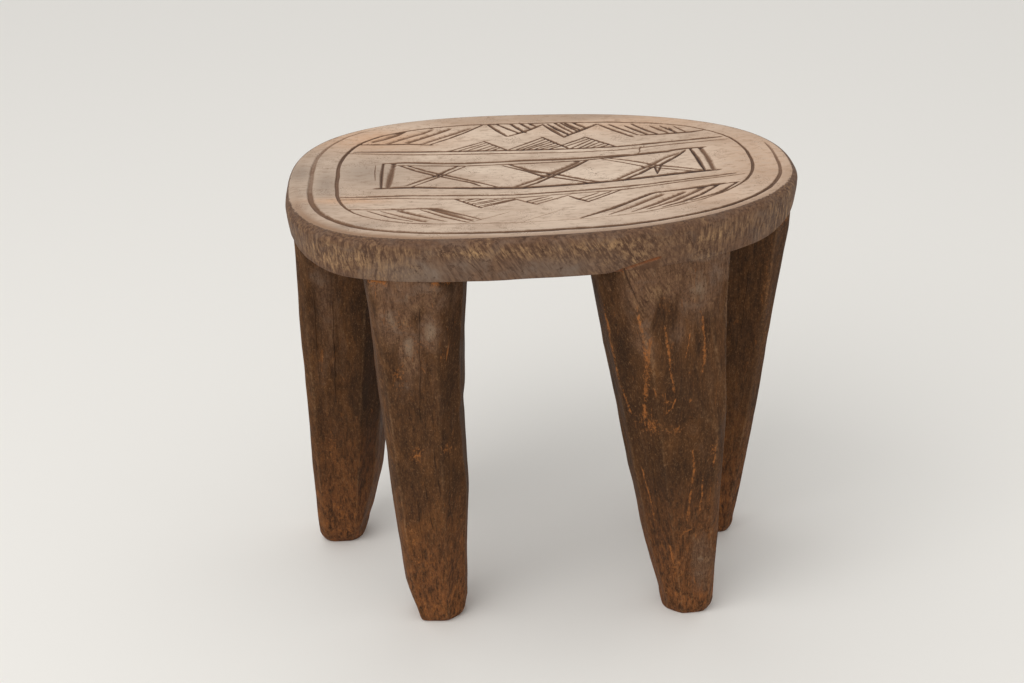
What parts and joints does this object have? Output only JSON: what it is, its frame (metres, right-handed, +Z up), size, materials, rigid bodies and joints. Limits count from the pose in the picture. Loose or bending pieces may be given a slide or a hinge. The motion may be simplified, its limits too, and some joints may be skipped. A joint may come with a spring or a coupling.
{
  "type": "carved stool",
  "caption": "Low oval stool carved from one block of wood, with a shallow hollow seat, incised geometric ornament and tapering hewn legs.",
  "frame": {"origin": "on the floor under the middle of the seat's bounding box", "axes": "+X along the seat's long axis to the right of someone facing the front, +Y from the front to the back, +Z up"},
  "size_m": [0.385, 0.29, 0.345],
  "materials": {
    "worn_top": "worn matt end grain, darker in the carved lines",
    "dark_legs": "dark hewn wood with a dull worn sheen"
  },
  "bodies": {
    "root": {"seat": "worn_top", "leg_front_left": "dark_legs", "leg_front_right": "dark_legs", "leg_back_left": "dark_legs", "leg_back_right": "dark_legs"}
  },
  "joints": []
}
